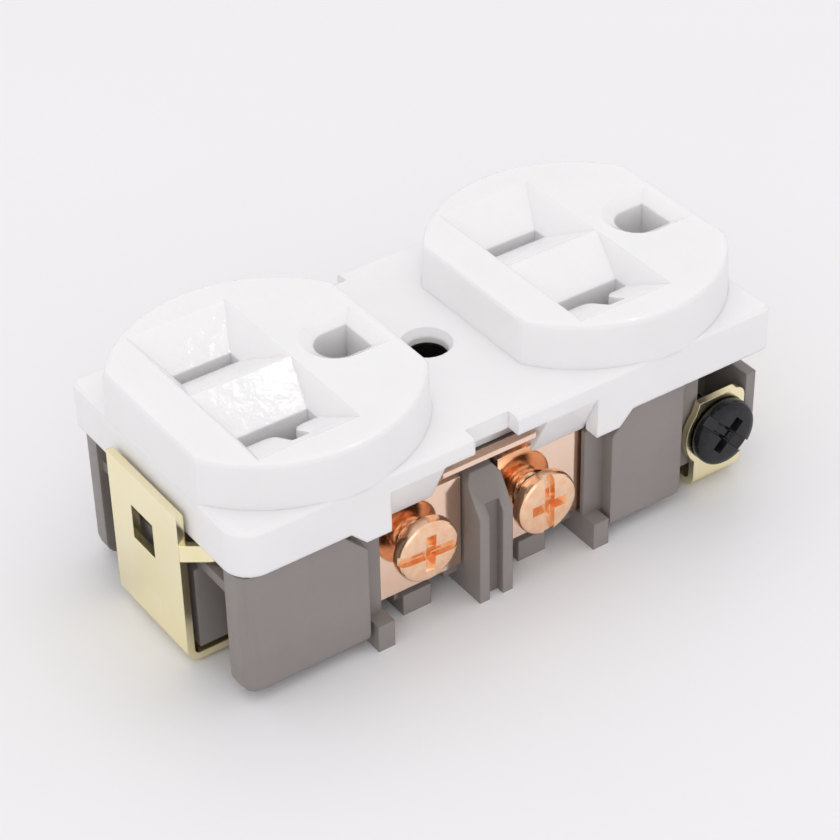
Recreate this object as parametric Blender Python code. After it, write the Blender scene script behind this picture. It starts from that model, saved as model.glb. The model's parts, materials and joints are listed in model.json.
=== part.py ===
"""Duplex wall outlet lying on its back: moulded face, moulded body, wrap-around strap.

Metres, +Z up. The origin is the centre of the plane the outlet lies on, X runs along
the outlet towards the earth screw, and -Y is the neutral side. Lengths below are
written in millimetres and multiplied by MM once, where a mesh is made.
"""

import math

import bmesh
import bpy
from mathutils import Matrix, Vector

MM = 0.001
GAP = 0.3

# Face cover: a plate with two raised faces
PLATE_HALF_X = 33.4
PLATE_HALF_Y = 16.36
PLATE_BOTTOM = 16.8
PLATE_TOP = 22.0
PLATE_CORNERS = (1.1, 1.1, 3.0, 1.1)
FACE_TOP = 27.3
FACE_SPACING = 38.9
FACE_RADIUS = 16.45
FACE_FLAT = 13.85
FACE_DRAFT = 0.18
FACE_EDGE = 0.45
FACE_ARC_STEPS = 26
CAVITY_TOP = 21.0
CAVITY_X = (-9.0, 11.4)
CAVITY_HALF_Y = 11.4
COVER_HOLE_RADIUS = 2.3
COVER_ROOM_RADIUS = 3.4
COVER_ROOM_TOP = 20.1
PAST = 1.0

# Openings in each face, measured from the face's centre
SLOT_OFFSET_Y = 6.35
SLOT_HALF_WIDTH = 0.87
SLOT_DEPTH = 2.6
HOT_SLOT_X = (-6.75, 0.1)
NEUTRAL_SLOT_X = (-7.0, 1.2)
FUNNEL_X = (-8.85, 2.9)
FUNNEL_HALF_Y = 6.25
STUB_X = -3.0
STUB_HALF_WIDTH = 1.0
STUB_END_Y = 11.0
STUB_FLARE = (0.9, 1.7)
EARTH_X = 8.4
EARTH_RADIUS = 2.4
EARTH_FLAT = 2.7
EARTH_DISH = 1.4
EARTH_DISH_DEPTH = 0.9

# Terminal bay: the stretch of each long side that shows the terminals
BAY_X = -2.95
BAY_HALF = 12.85
SKIRT_BOTTOM = 19.95
TAB_GAP_HALF = 6.2
NOTCH_HALF = 2.65
NOTCH_Y = 14.74
LUG_BOTTOM = 15.05
LUG_WIDTH = 3.0
LUG_CHAMFER = 1.8
LUG_BACK_Y = 14.45
SLOPE_SHEET = 1.2
TAB_ROOM_Y = 12.1
SLOPE_FOOT_Z = 14.75
SLOPE_FOOT_Y = 13.6

# Rear body
BODY_HALF_X = 33.0
BODY_HALF_Y = 15.8
BODY_BOTTOM = 1.75
BLOCK_BOTTOM = 0.9
BLOCK_ROUND = 1.7
BODY_TOP = 16.5
CORE_HALF_Y = 12.2
BLOCK_EDGE = 15.4
PILASTER_FRONT = 14.15
PILASTER_EDGE = 13.0
PILASTER_TOP = 14.4
POST_FRONT = 16.3
POST_TOP = 3.35
POST_X = (12.85, 14.85)
POST_BACK_Y = 10.0
RIB_HALF = 2.1
RIB_TOP = 15.3
RIB_SHOULDER = 11.0
RIB_BACK_Y = 9.4
RIB_CREST_Y = (13.6, 12.9)
RIB_TAPER = (2.4, 0.8)
RIB_GROOVE_HALF = 0.85
RIB_GROOVE_DEPTH = 1.0
BLOCK_CHAMFER = 3.95
BLOCK_BACK_Y = 8.0
END_POCKET_Y = (6.5, 12.5)
END_POCKET_TOP = 12.2
END_POCKET_DEPTH = 5.0
WALL_INSET = 0.55
WING_ROOM_Z = 13.5
WING_ROOM_DEPTH = 2.6
FOOT_X = (-10.8, 4.05)
FOOT_HALF = 1.75
FOOT_FRONT = 13.1
FOOT_BACK = 9.6
SCREW_ROOM_HALF = 4.4
SCREW_ROOM_BACK_Y = 7.0
SCREW_ROOM_TOP = 15.0
WIRE_HOLE_OFFSET = 3.15
WIRE_HOLE_HALF = 1.1
WIRE_HOLE_Y = 11.0

# Terminal plates and their break-off tab
TERMINAL_FACE_Y = 13.3
TERMINAL_SHEET = 0.8
TERMINAL_BOTTOM = 3.65
TERMINAL_TOP = 16.3
TERMINAL_INNER = 2.35
TERMINAL_OUTER = (-25.4, 19.5)
TAB_HALF = 5.8
TAB_OUT_Y = 15.25
TAB_TOP = 18.25
TAB_BOTTOM = 17.65
TAB_DEPTH = 1.1
TAB_ARM = 3.0
PLATE_NICK_Z = 15.1
PLATE_SHOULDER = 3.0

# Screws
SCREW_X = (-11.05, 3.7)
SCREW_Z = (9.75, 9.15)
SCREW_HOLE = 2.45
SHANK_RADIUS = 2.05
HEAD_RADIUS = 3.7
HEAD_BACK_Y = (14.55, 14.95)
HEAD_THICKNESS = 1.65
HEAD_STEPS = 36
SHANK_TIP_Y = 9.0
DRIVE_HALF = 0.55
DRIVE_DEPTH = 0.95
SLOT_CUT_DEPTH = 0.7
SLOT_TURNS = (-3.0, 90.0, 35.0, 118.0)
CLAMP_FRONT_Y = 11.2
CLAMP_SHEET = 1.0
CLAMP_HALF_X = 3.6
CLAMP_HALF_Z = 4.3
CLAMP_Z = 9.3
THREAD_GAP = 0.1

# Earth terminal
EARTH_SCREW_X = 28.0
EARTH_SCREW_Z = 7.4
EARTH_SLOT_TURN = -46.0
EARTH_HEAD_RADIUS = 3.95
EARTH_HEAD_THICKNESS = 1.5
EARTH_HEAD_BACK_Y = 15.1
EARTH_TAB_Y = 15.0
EARTH_TAB_TOP = 11.9
EARTH_TAB_X = (24.7, 31.4)
EARTH_TAB_ROUND = 4.55
EARTH_SHANK_RADIUS = 1.75
EARTH_CLAMP_X = (25.9, 31.2)
EARTH_CLAMP_FRONT_Y = 13.1
EARTH_CLAMP_HALF_Z = 2.3
RECESS_X = (22.0, 31.7)
RECESS_SETBACK_Y = 13.85
RECESS_SETBACK_X = 25.65
RECESS_DEEP_Y = 8.2
END_WALL_TOP = 12.9
END_WALL_FRONT = 14.8
END_WALL_BOTTOM = 5.0

# Strap
STRAP_SHEET = 0.85
STRAP_OUT_X = 34.7
STRAP_BOTTOM = 0.55
STRAP_TOP = 19.5
STRAP_HALF_Y = 6.85
STRAP_BEND = 1.5
BEND_STEPS = 6
SQUARE_HOLE = 4.25
SQUARE_HOLE_Y = 0.4
SQUARE_HOLE_Z = 13.1
WING_Z = (14.0, 16.0)
WING_REACH = (3.3, 2.4)

# Inner contacts and posts
CONTACT_X = (-22.4, 16.5)
CONTACT_ROOM_HALF = 4.4
CONTACT_ROOM_Y = (3.7, 12.4)
ROOM_FLOOR = 4.0
EARTH_ROOM_HALF = (3.5, 3.3)
CONTACT_SHEET = 0.55
CONTACT_TOP = 15.6
CONTACT_BOTTOM = 5.0
CONTACT_HALF_X = 3.2
CONTACT_GRIP = 0.85
EARTH_CONTACT_HALF = 2.9
POST_RADIUS = 2.6
POST_BORE = 1.5
POST_HEIGHT = 14.0
RIVET_RADIUS = 1.1
RIVET_HEAD = 2.0
ROUND_STEPS = 24

COLOURS = {
    "white_plastic": ((0.88, 0.87, 0.86), 0.42, 0.0),
    "grey_plastic": ((0.27, 0.25, 0.235), 0.5, 0.0),
    "copper": ((0.85, 0.55, 0.38), 0.22, 1.0),
    "copper_screw": ((0.86, 0.5, 0.32), 0.26, 1.0),
    "brass": ((0.84, 0.72, 0.42), 0.3, 1.0),
    "contact_brass": ((0.8, 0.64, 0.34), 0.3, 1.0),
    "steel_clamp": ((0.62, 0.6, 0.56), 0.35, 1.0),
    "black_steel": ((0.05, 0.05, 0.055), 0.4, 0.6),
}


def clear_scene():
    for old in list(bpy.data.objects):
        bpy.data.objects.remove(old, do_unlink=True)


def material(slot):
    made = bpy.data.materials.get(slot)
    if made:
        return made
    colour, roughness, metallic = COLOURS[slot]
    made = bpy.data.materials.new(slot)
    made.use_nodes = True
    shader = made.node_tree.nodes["Principled BSDF"]
    shader.inputs["Base Color"].default_value = (*colour, 1.0)
    shader.inputs["Roughness"].default_value = roughness
    shader.inputs["Metallic"].default_value = metallic
    return made


def mesh_object(name, work):
    """An object from a bmesh in millimetres."""
    bmesh.ops.recalc_face_normals(work, faces=work.faces)
    bmesh.ops.scale(work, vec=(MM, MM, MM), verts=work.verts)
    mesh = bpy.data.meshes.new(name)
    work.to_mesh(mesh)
    work.free()
    made = bpy.data.objects.new(name, mesh)
    bpy.context.scene.collection.objects.link(made)
    return made


def box(name, x, y, z):
    """A box between two limits on each axis, given in either order."""
    work = bmesh.new()
    bmesh.ops.create_cube(work, size=1.0)
    lows = Vector((min(x), min(y), min(z)))
    highs = Vector((max(x), max(y), max(z)))
    bmesh.ops.scale(work, vec=highs - lows, verts=work.verts)
    bmesh.ops.translate(work, vec=(highs + lows) / 2, verts=work.verts)
    return mesh_object(name, work)


def bevelled_box(name, x, y, z, width, steps, chosen):
    """A box whose edges that pass chosen(direction, middle) are rounded."""
    work = bmesh.new()
    bmesh.ops.create_cube(work, size=1.0)
    lows = Vector((min(x), min(y), min(z)))
    highs = Vector((max(x), max(y), max(z)))
    bmesh.ops.scale(work, vec=highs - lows, verts=work.verts)
    bmesh.ops.translate(work, vec=(highs + lows) / 2, verts=work.verts)
    edges = []
    for edge in work.edges:
        start, end = (vert.co for vert in edge.verts)
        if chosen((end - start).normalized(), (start + end) / 2):
            edges.append(edge)
    bmesh.ops.bevel(
        work, geom=edges, offset=width, segments=steps, profile=0.5, affect="EDGES"
    )
    return mesh_object(name, work)


def prism(name, outline, axis, low, high):
    """An outline of pairs pushed along one axis from low to high."""
    place = {
        "X": lambda a, b, depth: (depth, a, b),
        "Y": lambda a, b, depth: (a, depth, b),
        "Z": lambda a, b, depth: (a, b, depth),
    }[axis]
    return loft(
        name,
        [
            [place(a, b, low) for a, b in outline],
            [place(a, b, high) for a, b in outline],
        ],
    )


def loft(name, rings):
    """A closed solid through rings of equal length, capped at both ends."""
    work = bmesh.new()
    loops = [[work.verts.new(point) for point in ring] for ring in rings]
    for lower, upper in zip(loops, loops[1:]):
        count = len(lower)
        for i in range(count):
            j = (i + 1) % count
            work.faces.new((lower[i], lower[j], upper[j], upper[i]))
    work.faces.new(loops[0])
    work.faces.new(loops[-1])
    return mesh_object(name, work)


def turned(name, profile, steps, place):
    """A solid turned about its own +Z from (radius, height) pairs, then placed."""
    work = bmesh.new()
    rings = []
    for radius, height in profile:
        ring = []
        for i in range(steps):
            angle = 2 * math.pi * i / steps
            spot = Vector((radius * math.cos(angle), radius * math.sin(angle), height))
            ring.append(work.verts.new(place @ spot))
        rings.append(ring)
    for lower, upper in zip(rings, rings[1:]):
        for i in range(steps):
            j = (i + 1) % steps
            work.faces.new((lower[i], lower[j], upper[j], upper[i]))
    work.faces.new(rings[0])
    work.faces.new(rings[-1])
    return mesh_object(name, work)


def arc(centre, radius, start, end, steps):
    """Points on an arc, angles in degrees."""
    points = []
    for i in range(steps + 1):
        angle = math.radians(start + (end - start) * i / steps)
        points.append(
            (centre[0] + radius * math.cos(angle), centre[1] + radius * math.sin(angle))
        )
    return points


def rounded_rectangle(half_x, half_y, radii, steps):
    """Corners in order from +X +Y, anticlockwise, each with its own radius."""
    outline = []
    for turn, (sx, sy) in enumerate(((1, 1), (-1, 1), (-1, -1), (1, -1))):
        radius = radii[turn]
        centre = (sx * (half_x - radius), sy * (half_y - radius))
        outline += arc(centre, radius, 90 * turn, 90 * turn + 90, steps)
    return outline


def sheet_outline(path, thickness):
    """A folded sheet's outline: a path of points given a thickness on its left."""
    left = []
    count = len(path)
    for i, point in enumerate(path):
        here = Vector(point)
        before = (here - Vector(path[i - 1])).normalized() if i else None
        after = (Vector(path[i + 1]) - here).normalized() if i + 1 < count else None
        before = before or after
        after = after or before
        normal = Vector((-before.y - after.y, before.x + after.x)).normalized()
        side = Vector((-before.y, before.x))
        left.append(tuple(here + normal * (thickness / normal.dot(side))))
    return list(path) + left[::-1]


def helper(made):
    """Marks a cutter, or a shape that a Boolean joins to another."""
    made.hide_render = True
    made.display_type = "WIRE"
    return made


def combine(target, tool, operation):
    helper(tool)
    step = target.modifiers.new(tool.name, "BOOLEAN")
    step.operation = operation
    step.solver = "EXACT"
    step.object = tool
    return target


def cut(target, tool):
    return combine(target, tool, "DIFFERENCE")


def join(target, tool):
    return combine(target, tool, "UNION")


def finish(made, slot, smooth_angle=30.0):
    made.data.materials.clear()
    made.data.materials.append(material(slot))
    made.data.shade_smooth()
    made.data.set_sharp_from_angle(angle=math.radians(smooth_angle))
    return made


# Face cover


def face_outline(centre_x, shrink):
    """Two flats across X joined by two arcs."""
    flat = FACE_FLAT - shrink
    radius = FACE_RADIUS - shrink
    corner = math.degrees(math.acos(flat / radius))
    outline = arc((centre_x, 0.0), radius, corner, 180 - corner, FACE_ARC_STEPS)
    outline += arc((centre_x, 0.0), radius, 180 + corner, 360 - corner, FACE_ARC_STEPS)
    return outline


def raised_face(name, centre_x):
    rings = []
    for shrink, height in (
        (0.0, PLATE_TOP - 0.4),
        (0.0, PLATE_TOP),
        (FACE_DRAFT, FACE_TOP - FACE_EDGE),
        (FACE_DRAFT + FACE_EDGE * 0.3, FACE_TOP - FACE_EDGE * 0.3),
        (FACE_DRAFT + FACE_EDGE, FACE_TOP),
    ):
        rings.append([(x, y, height) for x, y in face_outline(centre_x, shrink)])
    return loft(name, rings)


def cover_plate(name):
    rings = []
    edge = 0.35
    for shrink, height in (
        (0.0, PLATE_BOTTOM),
        (0.0, PLATE_TOP - edge),
        (edge, PLATE_TOP),
    ):
        radii = [corner - shrink for corner in PLATE_CORNERS]
        outline = rounded_rectangle(
            PLATE_HALF_X - shrink, PLATE_HALF_Y - shrink, radii, 6
        )
        rings.append([(x, y, height) for x, y in outline])
    return loft(name, rings)


def funnel(name, centre_x, side, slot_x):
    """The four-sided lead-in that runs down to a blade slot."""
    floor = FACE_TOP - SLOT_DEPTH
    rings = []
    for share in (0.0, 1.25):
        x_low = slot_x[0] + (FUNNEL_X[0] - slot_x[0]) * share
        x_high = slot_x[1] + (FUNNEL_X[1] - slot_x[1]) * share
        half_y = SLOT_HALF_WIDTH + (FUNNEL_HALF_Y - SLOT_HALF_WIDTH) * share
        height = floor + SLOT_DEPTH * share
        middle = side * SLOT_OFFSET_Y
        rings.append(
            [
                (centre_x + x_low, middle - half_y, height),
                (centre_x + x_high, middle - half_y, height),
                (centre_x + x_high, middle + half_y, height),
                (centre_x + x_low, middle + half_y, height),
            ]
        )
    return loft(name, rings)


def earth_outline(centre_x, grow):
    """A half round towards the slots and a flat side away from them."""
    radius = EARTH_RADIUS + grow
    outline = arc((centre_x + EARTH_X, 0.0), radius, 90, 270, 12)
    flat = centre_x + EARTH_X + EARTH_FLAT + grow
    return outline + [(flat, -radius), (flat, radius)]


def stub_outline(x):
    """The neutral slot's short leg, whose mouth widens into the slot in two curves."""
    mouth = -SLOT_OFFSET_Y - SLOT_HALF_WIDTH
    right = x + STUB_HALF_WIDTH + STUB_FLARE[1]
    left = x - STUB_HALF_WIDTH - STUB_FLARE[0]
    outline = [(left, -SLOT_OFFSET_Y), (right, -SLOT_OFFSET_Y)]
    outline += arc((right, mouth - STUB_FLARE[1]), STUB_FLARE[1], 90, 180, 6)
    outline += [(x + STUB_HALF_WIDTH, -STUB_END_Y), (x - STUB_HALF_WIDTH, -STUB_END_Y)]
    outline += arc((left, mouth - STUB_FLARE[0]), STUB_FLARE[0], 0, 90, 4)
    return outline


def cut_face_openings(cover, label, centre_x):
    deep = CAVITY_TOP - PAST
    slot_top = FACE_TOP - SLOT_DEPTH + 0.4
    for side, slot_x, kind in ((1, HOT_SLOT_X, "hot"), (-1, NEUTRAL_SLOT_X, "neutral")):
        cut(cover, funnel(f"funnel_{kind}_{label}", centre_x, side, slot_x))
        middle = side * SLOT_OFFSET_Y
        slot = box(
            f"slot_{kind}_{label}",
            (centre_x + slot_x[0], centre_x + slot_x[1]),
            (middle - SLOT_HALF_WIDTH, middle + SLOT_HALF_WIDTH),
            (deep, slot_top),
        )
        cut(cover, slot)
    stub = prism(
        f"slot_stub_{label}", stub_outline(centre_x + STUB_X), "Z", deep, FACE_TOP + PAST
    )
    cut(cover, stub)
    rings = []
    for grow, height in (
        (0.0, deep),
        (0.0, FACE_TOP - EARTH_DISH_DEPTH),
        (EARTH_DISH * 1.5, FACE_TOP + EARTH_DISH_DEPTH * 0.5),
    ):
        rings.append([(x, y, height) for x, y in earth_outline(centre_x, grow)])
    cut(cover, loft(f"earth_hole_{label}", rings))


def cut_cavity(cover, label, centre_x):
    """The hollow under a raised face, which holds the tops of the contacts."""
    cavity = box(
        f"cavity_{label}",
        (centre_x + CAVITY_X[0], centre_x + CAVITY_X[1]),
        (-CAVITY_HALF_Y, CAVITY_HALF_Y),
        (PLATE_BOTTOM - PAST, CAVITY_TOP),
    )
    cut(cover, cavity)


def terminal_bay(cover, side):
    """Opens the plate's edge over one row of terminals and adds its sloped walls."""
    name = "near" if side < 0 else "far"
    cut(
        cover,
        box(
            f"bay_{name}",
            (BAY_X - BAY_HALF, BAY_X + BAY_HALF),
            (side * SLOPE_FOOT_Y, side * (PLATE_HALF_Y + 1)),
            (PLATE_BOTTOM - 1, SKIRT_BOTTOM),
        ),
    )
    cut(
        cover,
        box(
            f"tab_room_{name}",
            (BAY_X - TAB_GAP_HALF, BAY_X + TAB_GAP_HALF),
            (side * TAB_ROOM_Y, side * (PLATE_HALF_Y + 1.2)),
            (PLATE_BOTTOM - 1.1, SKIRT_BOTTOM - 0.02),
        ),
    )
    cut(
        cover,
        box(
            f"notch_{name}",
            (BAY_X - NOTCH_HALF, BAY_X + NOTCH_HALF),
            (side * NOTCH_Y, side * (PLATE_HALF_Y + 1.4)),
            (PLATE_BOTTOM - 1.2, PLATE_TOP + 1),
        ),
    )
    for end in (-1, 1):
        edge = BAY_X + end * BAY_HALF
        slope = [
            (side * PLATE_HALF_Y, SKIRT_BOTTOM),
            (side * (SLOPE_FOOT_Y + 0.25), SLOPE_FOOT_Z),
            (side * SLOPE_FOOT_Y, SLOPE_FOOT_Z),
            (side * SLOPE_FOOT_Y, PLATE_BOTTOM + 0.4),
            (side * (SLOPE_FOOT_Y - SLOPE_SHEET), PLATE_BOTTOM + 0.4),
            (side * (SLOPE_FOOT_Y - SLOPE_SHEET), SKIRT_BOTTOM + 0.6),
            (side * PLATE_HALF_Y, SKIRT_BOTTOM + 0.6),
        ]
        inner = BAY_X + end * (TAB_GAP_HALF + 0.1)
        low, high = sorted((edge + end * 0.2, inner))
        join(cover, prism(f"slope_{name}_{end}", slope, "X", low, high))
        outer = edge + end * LUG_WIDTH
        lug = [
            (edge, LUG_BOTTOM),
            (outer, LUG_BOTTOM),
            (outer + end * LUG_CHAMFER, LUG_BOTTOM + LUG_CHAMFER),
            (outer + end * LUG_CHAMFER, SKIRT_BOTTOM + 0.8),
            (edge, SKIRT_BOTTOM + 0.8),
        ]
        low, high = sorted((side * LUG_BACK_Y, side * PLATE_HALF_Y))
        join(cover, prism(f"lug_{name}_{end}", lug, "Y", low, high))


def face_cover():
    cover = cover_plate("face_cover")
    for label, centre_x in (("left", -FACE_SPACING / 2), ("right", FACE_SPACING / 2)):
        join(cover, raised_face(f"face_{label}", centre_x))
    for label, centre_x in (("left", -FACE_SPACING / 2), ("right", FACE_SPACING / 2)):
        cut_cavity(cover, label, centre_x)
        cut_face_openings(cover, label, centre_x)
    for side in (-1, 1):
        terminal_bay(cover, side)
    sink = [
        (COVER_HOLE_RADIUS, PLATE_BOTTOM - PAST),
        (COVER_HOLE_RADIUS, PLATE_TOP - 0.9),
        (COVER_HOLE_RADIUS + 0.45, PLATE_TOP - 0.1),
        (COVER_HOLE_RADIUS + 0.6, PLATE_TOP + PAST),
    ]
    cut(cover, turned("cover_screw_hole", sink, ROUND_STEPS, Matrix.Identity(4)))
    room = [
        (COVER_ROOM_RADIUS, PLATE_BOTTOM - PAST),
        (COVER_ROOM_RADIUS, COVER_ROOM_TOP),
    ]
    cut(cover, turned("cover_screw_room", room, ROUND_STEPS, Matrix.Identity(4)))
    return finish(cover, "white_plastic")


# Rear body


def corner_block(name, x, side, round_ends):
    """A block that stands out beside a terminal bay, rounded outside and below."""
    outer_y = side * BODY_HALF_Y

    def chosen(direction, middle):
        outside = abs(middle.y - outer_y) < 0.01
        below = abs(middle.z - BLOCK_BOTTOM) < 0.01
        at_end = any(abs(middle.x - end) < 0.01 for end in round_ends)
        if abs(direction.z) > 0.9:
            return outside and abs(abs(middle.x) - BODY_HALF_X) < 0.01
        if abs(direction.x) > 0.9:
            return outside and below
        return below and at_end

    return bevelled_box(
        name,
        x,
        (side * BLOCK_BACK_Y, outer_y),
        (BLOCK_BOTTOM, BODY_TOP),
        BLOCK_ROUND,
        4,
        chosen,
    )


def block_chamfer(name, edge, end, side):
    """Cuts the block's top corner to clear the cover's lug."""
    top = BODY_TOP + PAST
    reach = BLOCK_CHAMFER
    outline = [
        (edge - end * 0.5, top),
        (edge + end * reach, top),
        (edge, top - reach),
        (edge - end * 0.5, top - reach - 0.5),
    ]
    low, high = sorted((side * PILASTER_FRONT, side * (BODY_HALF_Y + 1)))
    return prism(name, outline, "Y", low, high)


def add_terminal_side(body, side):
    name = "near" if side < 0 else "far"
    right_end = RECESS_X[0] if side < 0 else BODY_HALF_X
    left_edge = BAY_X - BLOCK_EDGE
    right_edge = BAY_X + BLOCK_EDGE
    join(
        body,
        corner_block(f"block_{name}_left", (-BODY_HALF_X, left_edge), side, (-BODY_HALF_X,)),
    )
    join(
        body,
        corner_block(f"block_{name}_right", (right_edge, right_end), side, (right_end,)),
    )
    for end, edge in ((-1, left_edge), (1, right_edge)):
        pilaster_x = (edge + end * 0.6, BAY_X + end * PILASTER_EDGE)
        pilaster = box(
            f"pilaster_{name}_{end}",
            pilaster_x,
            (side * (BLOCK_BACK_Y + 0.2), side * PILASTER_FRONT),
            (BODY_BOTTOM + 0.1, PILASTER_TOP),
        )
        join(body, pilaster)
        post = box(
            f"post_{name}_{end}",
            (BAY_X + end * POST_X[0], BAY_X + end * POST_X[1]),
            (side * POST_BACK_Y, side * POST_FRONT),
            (0.0, POST_TOP),
        )
        join(body, post)
    join(body, rib(name, side))
    for i, x in enumerate(FOOT_X):
        foot = box(
            f"foot_{name}_{i}",
            (x - FOOT_HALF, x + FOOT_HALF),
            (side * FOOT_BACK, side * FOOT_FRONT),
            (0.0, BODY_BOTTOM + 0.9),
        )
        join(body, foot)


def rib(name, side):
    """The barrier between the two terminals: a sloped top and a grooved front."""
    profile = [
        (side * RIB_BACK_Y, 0.0),
        (side * POST_FRONT, 0.0),
        (side * POST_FRONT, RIB_SHOULDER),
        (side * RIB_CREST_Y[0], RIB_TOP),
        (side * RIB_CREST_Y[1], RIB_TOP),
        (side * RIB_CREST_Y[1], BODY_TOP - 0.4),
        (side * RIB_BACK_Y, BODY_TOP - 0.4),
    ]
    made = prism(f"rib_{name}", profile, "X", BAY_X - RIB_HALF, BAY_X + RIB_HALF)
    wide = RIB_HALF + PAST
    narrow = RIB_HALF - RIB_TAPER[1]
    front = [
        (BAY_X - wide, -PAST),
        (BAY_X + wide, -PAST),
        (BAY_X + wide, RIB_TOP - RIB_TAPER[0]),
        (BAY_X + narrow, RIB_TOP + 0.2),
        (BAY_X + narrow, BODY_TOP + PAST),
        (BAY_X - narrow, BODY_TOP + PAST),
        (BAY_X - narrow, RIB_TOP + 0.2),
        (BAY_X - wide, RIB_TOP - RIB_TAPER[0]),
    ]
    low, high = sorted((side * (RIB_BACK_Y - 0.4), side * (POST_FRONT + PAST)))
    return combine(made, prism(f"rib_taper_{name}", front, "Y", low, high), "INTERSECT")


def cut_terminal_side(body, side):
    name = "near" if side < 0 else "far"
    face = side * (TERMINAL_FACE_Y + GAP)
    back = side * CORE_HALF_Y
    spans = (
        (TERMINAL_OUTER[0] - 0.6, BAY_X - RIB_HALF),
        (BAY_X + RIB_HALF, TERMINAL_OUTER[1] + 0.6),
    )
    for i, span in enumerate(spans):
        cut(
            body,
            box(f"terminal_slot_{name}_{i}", span, (face, back), (POST_TOP, BODY_TOP + 2)),
        )
        cut(body, screw_pocket(f"pocket_{name}_{i}", i, side))
    cut(
        body,
        box(
            f"rib_groove_{name}",
            (BAY_X - RIB_GROOVE_HALF, BAY_X + RIB_GROOVE_HALF),
            (side * (POST_FRONT - RIB_GROOVE_DEPTH), side * (POST_FRONT + PAST)),
            (-PAST, RIB_SHOULDER + 1.2),
        ),
    )
    left_edge = BAY_X - BLOCK_EDGE
    right_edge = BAY_X + BLOCK_EDGE
    cut(body, block_chamfer(f"chamfer_{name}_left", left_edge, -1, side))
    cut(body, block_chamfer(f"chamfer_{name}_right", right_edge, 1, side))
    for i, x in enumerate(CONTACT_X):
        cut(
            body,
            box(
                f"contact_room_{name}_{i}",
                (x - CONTACT_ROOM_HALF, x + CONTACT_ROOM_HALF),
                (side * CONTACT_ROOM_Y[0], side * CONTACT_ROOM_Y[1]),
                (ROOM_FLOOR, BODY_TOP + 1.5),
            ),
        )


def screw_pocket(name, index, side):
    """The hollow behind a terminal plate, open below between the feet for wires."""
    x = SCREW_X[index]
    return box(
        name,
        (x - SCREW_ROOM_HALF, x + SCREW_ROOM_HALF),
        (side * SCREW_ROOM_BACK_Y, side * (CORE_HALF_Y + 0.5)),
        (POST_TOP + 0.2, SCREW_ROOM_TOP),
    )


def wire_holes(body, side):
    """Square holes through the floor beside each foot, where stripped wires enter."""
    name = "near" if side < 0 else "far"
    for i, x in enumerate(SCREW_X):
        for end in (-1, 1):
            middle = x + end * WIRE_HOLE_OFFSET
            cut(
                body,
                box(
                    f"wire_hole_{name}_{i}_{end}",
                    (middle - WIRE_HOLE_HALF, middle + WIRE_HOLE_HALF),
                    (side * WIRE_HOLE_Y, side * (CORE_HALF_Y + 0.6)),
                    (-0.5, POST_TOP + PAST),
                ),
            )


def end_pockets(body):
    """Hollows in the ends beside the strap, open at the end and below."""
    for side in (-1, 1):
        for end in (-1, 1):
            if side < 0 < end:
                continue
            cut(
                body,
                box(
                    f"end_pocket_{side}_{end}",
                    (end * (BODY_HALF_X - END_POCKET_DEPTH), end * (BODY_HALF_X + 1)),
                    (side * END_POCKET_Y[0], side * END_POCKET_Y[1]),
                    (BODY_BOTTOM - 1, END_POCKET_TOP),
                ),
            )
    for end in (-1, 1):
        low_y = -END_POCKET_Y[1] if end < 0 else -BODY_HALF_Y - 1
        low_z = END_POCKET_TOP - 0.4 if end < 0 else END_WALL_TOP
        for step, (depth, height) in enumerate(
            ((WALL_INSET, low_z), (WING_ROOM_DEPTH, WING_ROOM_Z))
        ):
            cut(
                body,
                box(
                    f"end_step_{end}_{step}",
                    (end * (BODY_HALF_X - depth), end * (BODY_HALF_X + 1.2 + step)),
                    (low_y, END_POCKET_Y[1]),
                    (height, BODY_TOP + 1.2 + step),
                ),
            )


def earth_recess(body):
    """The open corner for the earth terminal, with its end wall left standing."""
    wall = box(
        "earth_end_wall",
        (RECESS_X[1], BODY_HALF_X),
        (-END_WALL_FRONT, -10.0),
        (END_WALL_BOTTOM, END_WALL_TOP),
    )
    join(body, wall)
    setback = box(
        "earth_setback",
        (RECESS_X[0] - 1.0, RECESS_SETBACK_X),
        (-RECESS_SETBACK_Y, -10.0),
        (POST_TOP, BODY_TOP - 0.05),
    )
    join(body, setback)
    deep = box(
        "earth_room",
        (RECESS_SETBACK_X, RECESS_X[1]),
        (-RECESS_DEEP_Y, -BODY_HALF_Y - 1),
        (BODY_BOTTOM - 1, BODY_TOP + 1.3),
    )
    cut(body, deep)


def rear_body():
    body = box(
        "rear_body",
        (-BODY_HALF_X, BODY_HALF_X),
        (-CORE_HALF_Y, CORE_HALF_Y),
        (BODY_BOTTOM, BODY_TOP),
    )
    for side in (-1, 1):
        add_terminal_side(body, side)
    for side in (-1, 1):
        cut_terminal_side(body, side)
        wire_holes(body, side)
    earth_recess(body)
    end_pockets(body)
    for label, x in (("left", -FACE_SPACING / 2), ("right", FACE_SPACING / 2)):
        cut(
            body,
            box(
                f"earth_chamber_{label}",
                (x + EARTH_X - EARTH_ROOM_HALF[0], x + EARTH_X + EARTH_ROOM_HALF[0]),
                (-EARTH_ROOM_HALF[1], EARTH_ROOM_HALF[1]),
                (ROOM_FLOOR, BODY_TOP + 1.4),
            ),
        )
        place = Matrix.Translation((x + EARTH_X, 0.0, 0.0))
        hole = [(RIVET_RADIUS + GAP, 1.0), (RIVET_RADIUS + GAP, 5.0)]
        cut(body, turned(f"rivet_hole_{label}", hole, ROUND_STEPS, place))
    bore = [(POST_RADIUS + GAP, 1.0), (POST_RADIUS + GAP, BODY_TOP + 1)]
    cut(body, turned("post_hole", bore, ROUND_STEPS, Matrix.Identity(4)))
    return finish(body, "grey_plastic")


# Metal parts


def bend(centre, radius, start, end):
    return arc(centre, radius, start, end, BEND_STEPS)


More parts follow.
